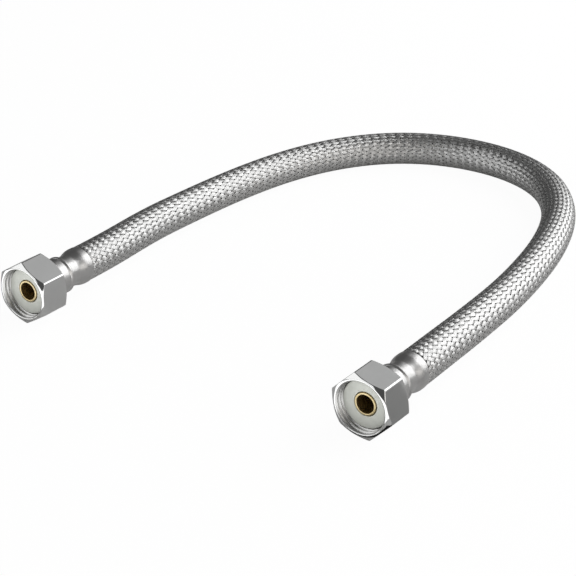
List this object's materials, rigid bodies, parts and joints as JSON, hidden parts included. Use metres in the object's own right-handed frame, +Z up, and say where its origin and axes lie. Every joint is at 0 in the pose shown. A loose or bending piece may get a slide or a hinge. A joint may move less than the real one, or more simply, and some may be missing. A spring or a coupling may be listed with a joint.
{
  "type": "braided supply line",
  "caption": "Braided stainless faucet supply line: a flexible water hose lying in a U, with crimped ferrules, brass inserts, sealing washers and swivelling chrome hexagon union nuts.",
  "frame": {"origin": "on the surface that the line lies on, under the middle of the two end fittings' box", "axes": "+Z up; both nut axes lie along Y with their mouths facing -Y; +X from end a towards end b; the hose loops out to +Y"},
  "size_m": [0.182, 0.2471, 0.0256],
  "materials": {
    "chrome": "polished chrome plating on brass",
    "stainless": "bright stainless sheet, crimped",
    "brass": "turned, dull",
    "washer_rubber": "matt pale grey-green rubber",
    "steel_braid": "woven bright stainless wire",
    "vinyl_cover": "smooth dark grey vinyl",
    "yarn_reinforcement": "off-white polyester yarn",
    "inner_tube": "smooth off-white elastomer"
  },
  "bodies": {
    "hose": {"steel_braid": "steel_braid", "vinyl_cover": "vinyl_cover", "yarn_reinforcement": "yarn_reinforcement", "inner_tube": "inner_tube", "barbed_insert_a": "brass", "barbed_insert_b": "brass", "crimp_ferrule_a": "stainless", "crimp_ferrule_b": "stainless"},
    "washer_a": {"sealing_washer_a": "washer_rubber"},
    "nut_a": {"union_nut_a": "chrome"},
    "washer_b": {"sealing_washer_b": "washer_rubber"},
    "nut_b": {"union_nut_b": "chrome"}
  },
  "joints": [
    {"name": "nut_a_float", "type": "slide", "parent": "hose", "child": "washer_a", "axis": [0, -1, 0], "range_m": [0, 0.0012]},
    {"name": "nut_a_swivel", "type": "hinge", "parent": "washer_a", "child": "nut_a", "pos_m": [-0.07741, -0.0173, 0.01281], "axis": [0, -1, 0], "continuous": true},
    {"name": "nut_b_float", "type": "slide", "parent": "hose", "child": "washer_b", "axis": [0, -1, 0], "range_m": [0, 0.0012]},
    {"name": "nut_b_swivel", "type": "hinge", "parent": "washer_b", "child": "nut_b", "pos_m": [0.07629, -0.0161, 0.01238], "axis": [0, -1, 0], "continuous": true}
  ]
}
